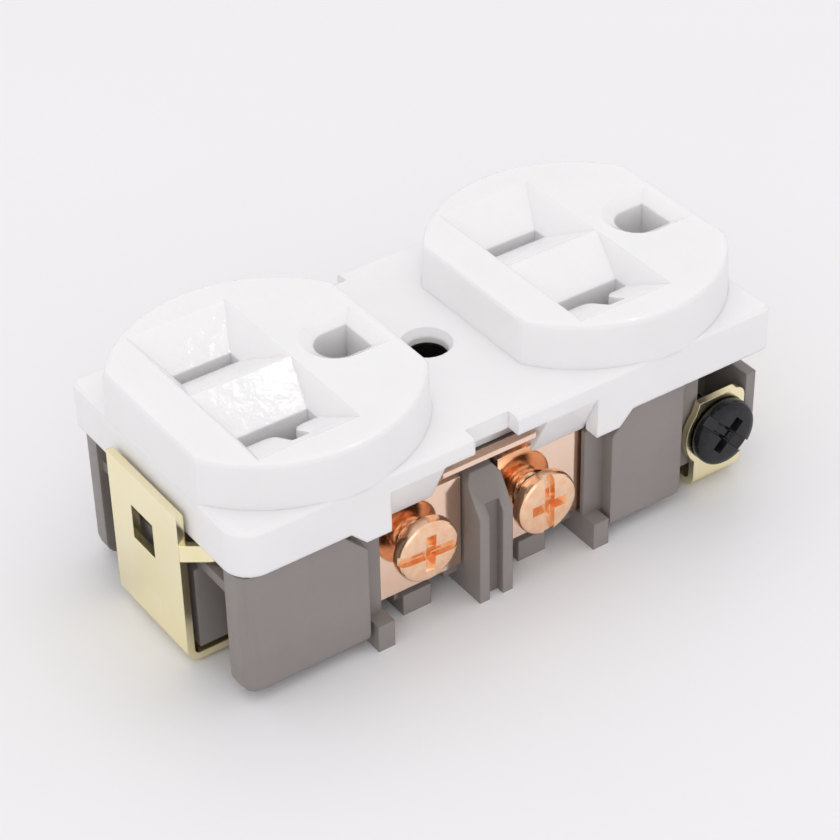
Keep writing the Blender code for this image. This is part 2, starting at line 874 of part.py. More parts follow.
def strap_outline():
    """The strap's side view: up one end, under the body and up the other end."""
    out = STRAP_OUT_X
    low = STRAP_BOTTOM
    path = [(-out, STRAP_TOP)]
    path += bend((-out + STRAP_BEND, low + STRAP_BEND), STRAP_BEND, 180, 270)
    path += bend((out - STRAP_BEND, low + STRAP_BEND), STRAP_BEND, 270, 360)
    path += [(out, STRAP_TOP)]
    return sheet_outline(path, STRAP_SHEET)


def wing(name, end, side):
    """A small ear on an end plate's edge, folded in under the cover."""
    start = (end * (STRAP_OUT_X - 0.05), side * (STRAP_HALF_Y - 0.9))
    edge = (end * (STRAP_OUT_X - 0.05), side * (STRAP_HALF_Y + 0.1))
    tip = (edge[0] - end * WING_REACH[0], edge[1] + side * WING_REACH[1])
    outline = sheet_outline([start, edge, tip], end * side * 0.75)
    return prism(name, outline, "Z", WING_Z[0], WING_Z[1])


def earth_tab():
    """The upright that carries the earth screw: a round boss on a narrower foot."""
    low, high = EARTH_TAB_X
    boss = arc((EARTH_SCREW_X, EARTH_SCREW_Z), EARTH_TAB_ROUND, 222, 138, 8)
    corner = arc((high - 1.3, EARTH_TAB_TOP - 1.3), 1.3, 90, 0, 5)
    outline = [(low, STRAP_BOTTOM + STRAP_BEND), (low, 4.4)]
    outline += boss
    outline += [(low + 0.4, EARTH_TAB_TOP)]
    outline += corner
    outline += [(high, STRAP_BOTTOM + STRAP_BEND)]
    return prism(
        "earth_tab", outline, "Y", -EARTH_TAB_Y, -EARTH_TAB_Y + STRAP_SHEET
    )


def earth_arm():
    """The strap's side branch, bent up into the earth tab."""
    centre = (-EARTH_TAB_Y + STRAP_BEND, STRAP_BOTTOM + STRAP_BEND)
    path = [(-EARTH_TAB_Y, centre[1] + 0.1)]
    path += bend(centre, STRAP_BEND, 180, 270)
    path += [(-STRAP_HALF_Y + 1.0, STRAP_BOTTOM)]
    outline = sheet_outline(path, STRAP_SHEET)
    return prism("earth_arm", outline, "X", EARTH_TAB_X[0], EARTH_TAB_X[1])


def mounting_strap():
    strap = prism(
        "mounting_strap", strap_outline(), "Y", -STRAP_HALF_Y, STRAP_HALF_Y
    )
    join(strap, earth_arm())
    join(strap, earth_tab())
    for end in (-1, 1):
        for side in (-1, 1):
            join(strap, wing(f"wing_{end}_{side}", end, side))
        half = SQUARE_HOLE / 2
        cut(
            strap,
            box(
                f"square_hole_{end}",
                (end * (STRAP_OUT_X - 2), end * (STRAP_OUT_X + 1)),
                (SQUARE_HOLE_Y - half, SQUARE_HOLE_Y + half),
                (SQUARE_HOLE_Z - half, SQUARE_HOLE_Z + half),
            ),
        )
    place = facing(-1, EARTH_SCREW_X, EARTH_SCREW_Z)
    hole = [(SCREW_HOLE, 12.6), (SCREW_HOLE, 16.6)]
    cut(strap, turned("earth_screw_hole", hole, ROUND_STEPS, place))
    for label, x in strap_stations():
        radius = (POST_RADIUS if label == "centre" else RIVET_RADIUS) * 0.6 + GAP
        bore = [(radius, 0.0), (radius, 3.0)]
        cut(strap, turned(f"strap_hole_{label}", bore, ROUND_STEPS, shift_x(x)))
    return finish(strap, "brass")


def strap_stations():
    half = FACE_SPACING / 2
    return (("left", EARTH_X - half), ("right", EARTH_X + half), ("centre", 0.0))


def shift_x(x):
    return Matrix.Translation((x, 0.0, 0.0))


def facing(side, x, z):
    """Turns +Z to point out of the near side (-1) or the far side (1)."""
    turn = Matrix.Rotation(math.radians(-90 * side), 4, "X")
    return Matrix.Translation((x, 0.0, z)) @ turn


def plate_outline(end):
    """One terminal plate, its top inner corner nicked beside the break-off tab."""
    outer = TERMINAL_OUTER[0] if end < 0 else TERMINAL_OUTER[1]
    inner = BAY_X + end * TERMINAL_INNER
    shoulder = BAY_X + end * (BAY_HALF - 1.0)
    return [
        (outer, TERMINAL_BOTTOM),
        (inner, TERMINAL_BOTTOM),
        (inner, PLATE_NICK_Z),
        (BAY_X + end * TAB_ARM, PLATE_NICK_Z),
        (BAY_X + end * TAB_ARM, TERMINAL_TOP),
        (shoulder, TERMINAL_TOP),
        (shoulder + end * PLATE_SHOULDER, TERMINAL_TOP - PLATE_SHOULDER),
        (outer, TERMINAL_TOP - PLATE_SHOULDER),
    ]


def tab_arm(name, end, side):
    """A short strip that leans out from a terminal plate's top to the tab."""
    out = TAB_OUT_Y
    profile = [
        (side * TERMINAL_FACE_Y, 15.2),
        (side * out, TAB_BOTTOM),
        (side * out, TAB_TOP),
        (side * (out - TAB_DEPTH), TAB_TOP),
        (side * (out - TAB_DEPTH), TAB_BOTTOM + 0.1),
        (side * (TERMINAL_FACE_Y - TERMINAL_SHEET), TERMINAL_TOP - 0.1),
        (side * (TERMINAL_FACE_Y - TERMINAL_SHEET), 15.2),
    ]
    low, high = sorted((BAY_X + end * TAB_ARM, BAY_X + end * TAB_HALF))
    return prism(name, profile, "X", low + 0.02, high - 0.02)


def terminal_bus(label, side):
    """Two terminal plates joined by the break-off tab, in one stamping."""
    low, high = sorted(
        (side * TERMINAL_FACE_Y, side * (TERMINAL_FACE_Y - TERMINAL_SHEET))
    )
    bus = prism(f"{label}_bus", plate_outline(-1), "Y", low, high)
    tab = box(
        f"{label}_tab",
        (BAY_X - TAB_HALF, BAY_X + TAB_HALF),
        (side * TAB_OUT_Y, side * (TAB_OUT_Y - TAB_DEPTH)),
        (TAB_BOTTOM, TAB_TOP),
    )
    join(bus, tab_arm(f"{label}_arm_left", -1, side))
    join(bus, tab)
    join(bus, tab_arm(f"{label}_arm_right", 1, side))
    join(bus, prism(f"{label}_plate_right", plate_outline(1), "Y", low, high))
    for i, x in enumerate(SCREW_X):
        place = facing(side, x, SCREW_Z[i])
        hole = [(SCREW_HOLE, 11.0), (SCREW_HOLE, 15.0)]
        cut(bus, turned(f"{label}_hole_{i}", hole, ROUND_STEPS, place))
    return finish(bus, "copper")


def head_profile(back, radius, thickness):
    """A pan head from its flat back to its nearly flat crown."""
    return [
        (radius * 0.95, back),
        (radius, back + 0.15),
        (radius, back + thickness * 0.7),
        (radius * 0.95, back + thickness * 0.85),
        (radius * 0.8, back + thickness * 0.95),
        (radius * 0.55, back + thickness),
    ]


def screw(name, side, x, z, back, shank, radius, thickness, slot, turn):
    """A pan-head screw with a combination drive, its axis along Y."""
    place = facing(side, x, z)
    tip = SHANK_TIP_Y
    profile = [
        (shank * 0.6, tip),
        (shank, tip + 0.8),
        (shank, back),
    ]
    profile += head_profile(back, radius, thickness)
    made = turned(name, profile, HEAD_STEPS, place)
    crown = back + thickness
    spin = Matrix.Rotation(math.radians(turn), 4, "Z")
    for cross, (half_x, half_y, floor) in enumerate(
        (
            (radius + PAST, DRIVE_HALF, SLOT_CUT_DEPTH),
            (radius * 0.55, DRIVE_HALF * 1.05, DRIVE_DEPTH),
        )
    ):
        swap = Matrix.Rotation(math.radians(90 * cross), 4, "Z")
        blade = placed_box(
            f"{name}_drive_{cross}",
            (half_x, half_y, 2.0),
            place @ spin @ swap @ Matrix.Translation((0.0, 0.0, crown - floor + 2.0)),
        )
        cut(made, blade)
    set_origin(made, (x, side * back, z))
    return finish(made, slot)


def set_origin(made, point):
    """Puts an object's origin on its joint axis, at a point in millimetres."""
    spot = Vector(point) * MM
    made.data.transform(Matrix.Translation(-spot))
    made.location = spot
    return made


def placed_box(name, halves, place):
    work = bmesh.new()
    bmesh.ops.create_cube(work, size=2.0)
    bmesh.ops.scale(work, vec=halves, verts=work.verts)
    bmesh.ops.transform(work, matrix=place, verts=work.verts)
    return mesh_object(name, work)


def clamp(name, side, x, z, front, shank, axis):
    """A square clamp plate behind a terminal, with the hole for its screw's thread."""
    made = box(name, x, (side * front, side * (front - CLAMP_SHEET)), z)
    hole = [
        (shank + THREAD_GAP, front - CLAMP_SHEET - PAST),
        (shank + THREAD_GAP, front + PAST),
    ]
    cut(made, turned(f"{name}_hole", hole, HEAD_STEPS, facing(side, *axis)))
    set_origin(made, (axis[0], side * front, axis[1]))
    return finish(made, "steel_clamp")


def terminal_set(label, side, turns):
    for i, (place, x) in enumerate(zip(("left", "right"), SCREW_X)):
        screw(
            f"{label}_screw_{place}",
            side,
            x,
            SCREW_Z[i],
            HEAD_BACK_Y[i],
            SHANK_RADIUS,
            HEAD_RADIUS,
            HEAD_THICKNESS,
            "copper_screw",
            turns[i],
        )
        clamp(
            f"{label}_clamp_{place}",
            side,
            (x - CLAMP_HALF_X, x + CLAMP_HALF_X),
            (CLAMP_Z - CLAMP_HALF_Z, CLAMP_Z + CLAMP_HALF_Z),
            CLAMP_FRONT_Y,
            SHANK_RADIUS,
            (x, SCREW_Z[i]),
        )


def earth_terminal():
    screw(
        "earth_screw",
        -1,
        EARTH_SCREW_X,
        EARTH_SCREW_Z,
        EARTH_HEAD_BACK_Y,
        EARTH_SHANK_RADIUS,
        EARTH_HEAD_RADIUS,
        EARTH_HEAD_THICKNESS,
        "black_steel",
        EARTH_SLOT_TURN,
    )
    clamp(
        "earth_clamp",
        -1,
        EARTH_CLAMP_X,
        (EARTH_SCREW_Z - EARTH_CLAMP_HALF_Z, EARTH_SCREW_Z + EARTH_CLAMP_HALF_Z),
        EARTH_CLAMP_FRONT_Y,
        EARTH_SHANK_RADIUS,
        (EARTH_SCREW_X, EARTH_SCREW_Z),
    )


def blade_contact(name, side, x):
    """A spring clip for one blade, with an arm that reaches the terminal plate."""
    near = side * (SLOT_OFFSET_Y - CONTACT_GRIP)
    far = side * (SLOT_OFFSET_Y + CONTACT_GRIP)
    path = [
        (near - side * 1.0, CONTACT_TOP),
        (near, CONTACT_TOP - 2.0),
        (near, CONTACT_BOTTOM + 1.0),
        (near + side * 0.4, CONTACT_BOTTOM),
        (far - side * 0.4, CONTACT_BOTTOM),
        (far, CONTACT_BOTTOM + 1.0),
        (far, CONTACT_TOP - 2.0),
        (far + side * 1.0, CONTACT_TOP - 0.6),
        (side * (TERMINAL_FACE_Y - TERMINAL_SHEET - GAP), CONTACT_TOP - 0.6),
    ]
    outline = sheet_outline(path, -side * CONTACT_SHEET)
    made = prism(name, outline, "X", x - CONTACT_HALF_X, x + CONTACT_HALF_X)
    return finish(made, "contact_brass")


def earth_contact(name, x):
    """A clip for the round earth pin, riveted to the strap."""
    half = EARTH_RADIUS + 0.1
    path = [
        (-half - 0.5, CONTACT_TOP),
        (-half + 0.2, CONTACT_TOP - 2.5),
        (-half, CONTACT_BOTTOM + 1.5),
        (-half + 0.4, CONTACT_BOTTOM - 0.4),
        (half - 0.4, CONTACT_BOTTOM - 0.4),
        (half, CONTACT_BOTTOM + 1.5),
        (half - 0.2, CONTACT_TOP - 2.5),
        (half + 0.5, CONTACT_TOP),
    ]
    outline = sheet_outline(path, CONTACT_SHEET)
    made = prism(name, outline, "X", x - EARTH_CONTACT_HALF, x + EARTH_CONTACT_HALF)
    hole = [(RIVET_RADIUS + 0.1, 3.0), (RIVET_RADIUS + 0.1, 6.5)]
    cut(made, turned(f"{name}_hole", hole, ROUND_STEPS, shift_x(x)))
    return finish(made, "contact_brass")


def rivet(name, x):
    """Holds an earth contact to the strap, with a low head under the strap."""
    shank = RIVET_RADIUS * 0.6
    profile = [
        (RIVET_HEAD * 0.7, 0.0),
        (RIVET_HEAD, 0.25),
        (shank, 0.25),
        (shank, 3.0),
        (RIVET_RADIUS - 0.1, 3.2),
        (RIVET_RADIUS - 0.1, 5.45),
        (RIVET_HEAD * 0.75, 5.5),
        (RIVET_HEAD * 0.6, 6.0),
    ]
    return finish(turned(name, profile, ROUND_STEPS, shift_x(x)), "contact_brass")


def screw_post():
    """The tapped post for the wall plate's screw, riveted to the strap."""
    neck = POST_RADIUS * 0.6
    outside = [
        (POST_RADIUS * 1.1, 0.0),
        (POST_RADIUS * 1.25, 0.25),
        (neck, 0.25),
        (neck, STRAP_BOTTOM + STRAP_SHEET + GAP),
        (POST_RADIUS, STRAP_BOTTOM + STRAP_SHEET + GAP),
        (POST_RADIUS, POST_HEIGHT - 0.3),
        (POST_RADIUS - 0.3, POST_HEIGHT),
    ]
    post = turned("cover_screw_post", outside, ROUND_STEPS, Matrix.Identity(4))
    bore = [(POST_BORE, 4.0), (POST_BORE, POST_HEIGHT + 1.0)]
    cut(post, turned("post_bore", bore, ROUND_STEPS, Matrix.Identity(4)))
    return finish(post, "contact_brass")


def main():
    clear_scene()
    face_cover()
    rear_body()
    mounting_strap()
    screw_post()
    terminal_bus("neutral", -1)
    terminal_bus("hot", 1)
    terminal_set("neutral", -1, SLOT_TURNS[:2])
    terminal_set("hot", 1, SLOT_TURNS[2:])
    earth_terminal()
    for label, x in zip(("left", "right"), CONTACT_X):
        blade_contact(f"neutral_contact_{label}", -1, x)
        blade_contact(f"hot_contact_{label}", 1, x)
    for label, x in strap_stations()[:2]:
        earth_contact(f"earth_contact_{label}", x)
        rivet(f"earth_rivet_{label}", x)


main()
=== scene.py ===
"""Looks of a duplex wall outlet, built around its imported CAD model.

Every CAD node is redrawn as a piece of the same size, its curved walls smooth and its
edges rounded by the shader. The screws are turned again with real threads and
combination drives. Everything else here is materials, light and the camera.
"""

import json
import math

import bmesh
import bpy
from mathutils import Matrix, Vector

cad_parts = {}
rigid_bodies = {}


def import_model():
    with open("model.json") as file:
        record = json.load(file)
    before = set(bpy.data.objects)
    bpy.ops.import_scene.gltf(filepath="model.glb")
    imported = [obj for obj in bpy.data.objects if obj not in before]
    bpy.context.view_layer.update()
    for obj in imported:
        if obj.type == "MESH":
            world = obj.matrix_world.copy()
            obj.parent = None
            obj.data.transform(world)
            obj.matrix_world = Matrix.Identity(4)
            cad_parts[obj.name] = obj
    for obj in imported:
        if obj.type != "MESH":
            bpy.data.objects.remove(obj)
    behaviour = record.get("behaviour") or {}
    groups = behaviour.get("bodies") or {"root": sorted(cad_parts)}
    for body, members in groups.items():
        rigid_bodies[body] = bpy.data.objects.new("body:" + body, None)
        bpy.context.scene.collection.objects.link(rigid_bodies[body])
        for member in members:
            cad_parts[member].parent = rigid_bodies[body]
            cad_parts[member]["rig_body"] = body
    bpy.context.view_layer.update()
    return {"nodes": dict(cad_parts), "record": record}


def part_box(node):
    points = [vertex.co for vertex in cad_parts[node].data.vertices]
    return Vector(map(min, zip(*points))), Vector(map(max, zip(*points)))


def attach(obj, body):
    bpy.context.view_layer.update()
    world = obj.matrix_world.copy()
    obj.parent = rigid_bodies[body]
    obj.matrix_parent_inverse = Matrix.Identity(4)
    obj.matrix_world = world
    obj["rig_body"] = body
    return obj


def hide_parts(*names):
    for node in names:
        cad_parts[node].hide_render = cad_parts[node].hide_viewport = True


MM = 0.001

# Camera, in millimetres and degrees
CAMERA_SPOT = (-125.5, -182.5, 177.7)
CAMERA_TARGET = (-8.29, -10.64, 22.0)
CAMERA_ROLL = -1.24
CAMERA_LENS = 111.27
CAMERA_SENSOR = 36.0
CAMERA_CLIP = (0.01, 10.0)  # metres

# Studio, in millimetres and watts: each softbox's place, size and power
WORLD_LIGHT = 0.86
LIGHT_TARGET = (0.0, 0.0, 15.0)
SOFTBOXES = {
    "top_light": ((155.0, -6.0, 400.0), 16.0, 0.011),
    "overhead_light": ((20.0, 10.0, 500.0), 500.0, 0.3),
    "front_light": ((-330.0, -420.0, 330.0), 420.0, 0.28),
}
FLOOR_HALF = 3.0  # metres

# Radius in millimetres that the shader gives to edges, by material slot
ROUNDING = {
    "white_plastic": 0.3,
    "grey_plastic": 0.25,
    "brass": 0.12,
    "copper": 0.1,
    "contact_brass": 0.1,
    "steel_clamp": 0.1,
    "copper_screw": 0.08,
    "black_steel": 0.08,
}
# Walls that meet at less than this many degrees are shaded as one curved wall
SMOOTH_ANGLE = 20.0
# Corners closer than this many metres are one corner
MERGE = 2e-6
# The well under the screw hole between the faces, where shade is painted near black into
# the white plastic, in millimetres
SHADE_WELL_RADIUS = 3.6
SHADE_WELL_TOP = 20.4

# Screws, in millimetres: steps round one, and rings in each turn of its thread
SCREW_STEPS = 96
THREAD_RINGS = 8
THREAD_PITCH = 0.79
THREAD_DEPTH = 0.32
# The slope of the thread's flanks and the width of its flat crest, in shares
FLANK_SLOPE = 1.4
CREST_WIDTH = 0.2
# The tip starts at this share of the shank's radius and reaches it over this length
TIP_SHARE = 0.55
TIP_LENGTH = 0.9
SLOT_DEPTH = 0.7
SLOT_DRAFT = 0.1
CROSS_REACH = 2.2
CROSS_DEPTH = 1.25
CROSS_DRAFT = 0.3
# The cross is this much slimmer than the slot, so that their walls never coincide
CROSS_SLIMMER = 0.02
# A drive's ends are drafted this many times as much as its sides
END_DRAFT = 2.2
# How far a cutter runs past what it cuts
PAST = 1.0
# The head's foot: shares of its radius, each with a height in millimetres
HEAD_FOOT = ((0.93, 0.0), (0.98, 0.04), (1.0, 0.14))
# The head above its foot: shares of its radius, each with a share of its thickness
HEAD_CROWN = (
    (1.0, 0.45),
    (0.995, 0.6),
    (0.975, 0.74),
    (0.93, 0.86),
    (0.86, 0.94),
    (0.75, 0.985),
    (0.55, 1.0),
    (0.25, 1.0),
)
# How far each screw is turned, in degrees
SCREW_TURNS = {
    "neutral_screw_left": -3.0,
    "neutral_screw_right": 90.0,
    "hot_screw_left": 35.0,
    "hot_screw_right": 118.0,
    "earth_screw": -46.0,
}
# Shank radius, head thickness and half the slot's width, by material slot
SCREW_SHAPES = {
    "copper_screw": (2.05, 1.6, 0.62),
    "black_steel": (1.75, 1.45, 0.72),
}


# Node materials


class Shader:
    """A Principled material under construction, its texture space the object's own."""

    def __init__(self, name):
        self.material = bpy.data.materials.new(name)
        self.material.use_nodes = True
        self.tree = self.material.node_tree
        self.principled = self.tree.nodes["Principled BSDF"]
        self.space = self.tree.nodes.new("ShaderNodeTexCoord").outputs["Object"]

    def node(self, kind, **settings):
        made = self.tree.nodes.new(kind)
        for key, value in settings.items():
            setattr(made, key, value)
        return made

    def link(self, source, target):
        self.tree.links.new(source, target)

    def feed(self, target, value):
        """Links a socket, or sets a plain number or colour."""
        if isinstance(value, bpy.types.NodeSocket):
            self.link(value, target)
        else:
            target.default_value = value

    def set(self, **values):
        for key, value in values.items():
            self.feed(self.principled.inputs[key.replace("_", " ")], value)

    def stretched(self, scale):
        made = self.node("ShaderNodeMapping")
        self.link(self.space, made.inputs["Vector"])
        made.inputs["Scale"].default_value = scale
        return made.outputs["Vector"]

    def noise(self, size, detail=3.0, vector=None, distortion=0.0):
        """Noise whose lumps are about size millimetres across."""
        made = self.node("ShaderNodeTexNoise")
        self.link(vector or self.space, made.inputs["Vector"])
        made.inputs["Scale"].default_value = 1.0 / (size * MM)
        made.inputs["Detail"].default_value = detail
        made.inputs["Distortion"].default_value = distortion
        return made.outputs["Fac"]

    def range(self, value, low, high, out_low=0.0, out_high=1.0):
        made = self.node("ShaderNodeMapRange")
        self.feed(made.inputs["Value"], value)
        for key, number in zip(
            ("From Min", "From Max", "To Min", "To Max"), (low, high, out_low, out_high)
        ):
            made.inputs[key].default_value = number
        return made.outputs["Result"]

    def math(self, operation, first, second=0.0):
        made = self.node("ShaderNodeMath", operation=operation)
        self.feed(made.inputs[0], first)
        self.feed(made.inputs[1], second)
        return made.outputs["Value"]

    def blend(self, factor, first, second):
        """A colour between two colours."""
        made = self.node("ShaderNodeMix", data_type="RGBA")
        self.feed(made.inputs[0], factor)
        self.feed(made.inputs[6], first)
        self.feed(made.inputs[7], second)
        return made.outputs[2]

    def rounded(self, radius):
        """The surface's normal with its edges rounded to a radius in millimetres."""
        made = self.node("ShaderNodeBevel", samples=4)
        made.inputs["Radius"].default_value = radius * MM
        return made.outputs["Normal"]

    def bump(self, height, depth, normal=None):
        """Raises the surface by up to depth millimetres."""
        made = self.node("ShaderNodeBump")
        self.link(height, made.inputs["Height"])
        made.inputs["Distance"].default_value = depth * MM
        if normal:
            self.link(normal, made.inputs["Normal"])
        return made.outputs["Normal"]

    def normal_part(self, axis):
        """One component of the surface's own normal, made positive."""
        geometry = self.node("ShaderNodeNewGeometry")
        split = self.node("ShaderNodeSeparateXYZ")
        self.link(geometry.outputs["Normal"], split.inputs[0])
        return self.math("ABSOLUTE", split.outputs[axis])

    def painted_shade_well(self, radius, top):
        """1 inside an upright round well on the object's own axis, in millimetres, where
        shade is painted.
        """
        split = self.node("ShaderNodeSeparateXYZ")
        self.link(self.space, split.inputs[0])
        across = self.math("MULTIPLY", split.outputs["X"], split.outputs["X"])
        along = self.math("MULTIPLY", split.outputs["Y"], split.outputs["Y"])
        reach = self.math("ADD", across, along)
        inside = self.math("LESS_THAN", reach, (radius * MM) ** 2)
        below = self.math("LESS_THAN", split.outputs["Z"], top * MM)
        return self.math("MULTIPLY", inside, below)

    def edges(self):
        """Near 1 along raised edges and near 0 elsewhere."""
        geometry = self.node("ShaderNodeNewGeometry")
        return self.range(geometry.outputs["Pointiness"], 0.52, 0.6)


def colour(red, green, blue):
    return (red, green, blue, 1.0)


def white_plastic():
    """Glossy moulded white: satin on top, polished and slightly wavy in the lead-ins, with
    painted shade in the well under the screw hole.
    """
    made = Shader("white_plastic_looks")
    tint = made.range(made.noise(9.0, 2.0), 0.3, 0.7)
    base = made.blend(tint, colour(0.885, 0.87, 0.88), colour(0.91, 0.895, 0.905))
    dust = made.range(made.noise(0.35, 2.0), 0.68, 0.8, 0.0, 0.25)
    base = made.blend(dust, base, colour(0.84, 0.825, 0.83))
    painted_shade_well = made.painted_shade_well(SHADE_WELL_RADIUS, SHADE_WELL_TOP)
    # Painted shade: the well under the screw hole is painted near black in place of its
    # real shade.
    base = made.blend(painted_shade_well, base, colour(0.02, 0.02, 0.02))
    tilt = made.normal_part("Z")
    sloped = made.math(
        "MULTIPLY", made.range(tilt, 0.80, 0.86), made.range(tilt, 0.94, 0.97, 1.0, 0.0)
    )
    satin = made.range(made.noise(1.1, 4.0), 0.3, 0.7, 0.3, 0.42)
    polished = made.range(made.noise(2.0, 3.0), 0.3, 0.7, 0.06, 0.12)
    rough = made.node("ShaderNodeMix", data_type="FLOAT")
    made.link(sloped, rough.inputs[0])
    made.link(satin, rough.inputs[2])
    made.link(polished, rough.inputs[3])
    waves = made.math("MULTIPLY", made.noise(1.6, 2.0, distortion=0.6), sloped)
    normal = made.bump(waves, 0.035, made.rounded(ROUNDING["white_plastic"]))
    ripples = made.math("MULTIPLY", made.noise(0.5, 2.0), sloped)
    normal = made.bump(ripples, 0.005, normal)
    normal = made.bump(made.noise(0.22, 3.0), 0.0025, normal)
    made.set(Base_Color=base, Roughness=rough.outputs[0], Normal=normal)
    made.set(IOR=1.5, Subsurface_Scale=0.0012)
    # No subsurface light inside the painted shade well, so that it stays black.
    made.set(Subsurface_Weight=made.range(painted_shade_well, 0.0, 1.0, 0.35, 0.0))
    made.set(Subsurface_Radius=(1.0, 0.9, 0.85))
    return made.material


def grey_plastic():
    """Satin warm grey, a fine moulded grain, lighter along its raised edges."""
    made = Shader("grey_plastic_looks")
    cloud = made.range(made.noise(5.0, 4.0), 0.3, 0.7)
    base = made.blend(cloud, colour(0.225, 0.196, 0.184), colour(0.248, 0.217, 0.204))
    speck = made.range(made.noise(0.18, 2.0), 0.62, 0.75, 0.0, 0.35)
    base = made.blend(speck, base, colour(0.29, 0.262, 0.247))
    base = made.blend(
        made.math("MULTIPLY", made.edges(), 0.35), base, colour(0.36, 0.33, 0.315)
    )
    made.set(Base_Color=base)
    made.set(Roughness=made.range(made.noise(0.8, 4.0), 0.3, 0.7, 0.42, 0.56))
    normal = made.bump(made.noise(0.16, 4.0), 0.006, made.rounded(ROUNDING["grey_plastic"]))
    normal = made.bump(made.noise(2.4, 2.0), 0.012, normal)
    made.set(Normal=normal, IOR=1.5)
    return made.material


def sheet_metal(name, light, dark, rough_low, rough_high, grain, ripple):
    """Rolled and stamped sheet: rolling marks one way, faint stains and scratches."""
    made = Shader(name)
    rounding = ROUNDING[name.removesuffix("_looks")]
    stain = made.range(made.noise(4.0, 5.0), 0.35, 0.68)
    base = made.blend(stain, light, dark)
    rolled = made.noise(1.6, 3.0, made.stretched((1.0, 1.0, 0.15)))
    base = made.blend(made.range(rolled, 0.45, 0.75, 0.0, 0.2), base, dark)
    made.set(Base_Color=base, Metallic=1.0)
    made.set(Roughness=made.range(rolled, 0.3, 0.7, rough_low, rough_high))
    scratch = made.noise(0.25, 2.0, made.stretched((0.05, 1.0, 1.0)))
    normal = made.bump(scratch, grain, made.rounded(rounding))
    normal = made.bump(made.noise(3.2, 2.0), ripple, normal)
    made.set(Normal=normal)
    return made.material


def screw_metal(name, light, dark, rough_low, rough_high, metallic):
    """Plated screw: tumbled surface, small dents, brighter on its raised edges."""
    made = Shader(name)
    rounding = ROUNDING[name.removesuffix("_looks")]
    mottled = made.range(made.noise(0.9, 5.0), 0.35, 0.7)
    base = made.blend(mottled, light, dark)
    pits = made.range(made.noise(0.22, 3.0), 0.6, 0.74, 0.0, 0.6)
    base = made.blend(pits, base, dark)
    base = made.blend(made.math("MULTIPLY", made.edges(), 0.5), base, light)
    made.set(Base_Color=base, Metallic=metallic, Specular_IOR_Level=0.3)
    made.set(Roughness=made.range(made.noise(0.5, 4.0), 0.3, 0.7, rough_low, rough_high))
    normal = made.bump(made.noise(0.3, 3.0), 0.012, made.rounded(rounding))
    normal = made.bump(made.noise(1.4, 2.0), 0.02, normal)
    made.set(Normal=normal)
    return made.material


def floor_material():
    made = Shader("floor_looks")
    tint = made.range(made.noise(60.0, 2.0), 0.3, 0.7)
    base = made.blend(tint, colour(0.90, 0.885, 0.905), colour(0.91, 0.895, 0.915))
    made.set(Base_Color=base)
    made.set(Roughness=made.range(made.noise(8.0, 3.0), 0.3, 0.7, 0.34, 0.4))
    made.set(Normal=made.bump(made.noise(0.8, 2.0), 0.002), IOR=1.4)
    return made.material


# Light and dark colours, lowest and highest roughness, and the depths of the grain
# and of the ripple in millimetres
SHEETS = {
    "brass": ((0.985, 0.91, 0.63), (0.97, 0.87, 0.55), 0.16, 0.24, 0.0012, 0.03),
    "contact_brass": ((0.83, 0.67, 0.36), (0.68, 0.52, 0.27), 0.26, 0.4, 0.004, 0.02),
    "copper": ((0.99, 0.75, 0.60), (0.98, 0.71, 0.55), 0.07, 0.15, 0.0015, 0.02),
    "steel_clamp": ((0.62, 0.61, 0.58), (0.46, 0.45, 0.43), 0.3, 0.45, 0.004, 0.02),
}
# Light and dark colours, lowest and highest roughness, and how metallic
SCREW_METALS = {
    "copper_screw": ((0.99, 0.70, 0.49), (0.95, 0.56, 0.34), 0.14, 0.28, 1.0),
    "black_steel": ((0.014, 0.014, 0.018), (0.006, 0.006, 0.008), 0.1, 0.22, 0.0),
}


def looks():
    """A material for each of the record's slots."""
    made = {"white_plastic": white_plastic(), "grey_plastic": grey_plastic()}
    for slot, (light, dark, *numbers) in SHEETS.items():
        made[slot] = sheet_metal(f"{slot}_looks", colour(*light), colour(*dark), *numbers)
    for slot, (light, dark, *numbers) in SCREW_METALS.items():
        made[slot] = screw_metal(f"{slot}_looks", colour(*light), colour(*dark), *numbers)
    return made


# Pieces


def slot_of(node):
    """The record's material slot for a CAD node."""
    for part in frame["record"]["subparts"]:
        if part["node"] == node:
            return part["material_slot"]
    raise KeyError(node)


def place_piece(made, node, slot, materials):
    """Dresses a piece and sets it on the body of the CAD node it stands for."""
    made.data.materials.clear()
    made.data.materials.append(materials[slot])
    # The normals that came with the CAD mesh don't fit its joined corners
    imported = made.data.attributes.get("custom_normal")
    if imported:
        made.data.attributes.remove(imported)
    made.data.shade_smooth()
    made.data.set_sharp_from_angle(angle=math.radians(SMOOTH_ANGLE))
    weighted = made.modifiers.new("weighted_normals", "WEIGHTED_NORMAL")
    weighted.keep_sharp = True
    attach(made, frame["nodes"][node]["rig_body"])
    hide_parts(node)
    return made


def joined_mesh(node):
    """A CAD node's mesh as a bmesh whose faces share their corners."""
    work = bmesh.new()
    work.from_mesh(frame["nodes"][node].data)
    bmesh.ops.remove_doubles(work, verts=work.verts, dist=MERGE)
    return work


def smooth_piece(node, slot, materials):
    """The CAD node drawn again, its curved walls smooth and its flats true."""
    made = linked(f"{node}_piece", joined_mesh(node))
    return place_piece(made, node, slot, materials)


def thread_radius(height, turn, outer):
    """The radius of a V thread at a height and a share of a turn."""
    share = (height / THREAD_PITCH - turn) % 1.0
    flank = abs(share - 0.5) * 2.0
    return outer - THREAD_DEPTH * min(1.0, max(0.0, FLANK_SLOPE * flank - CREST_WIDTH))


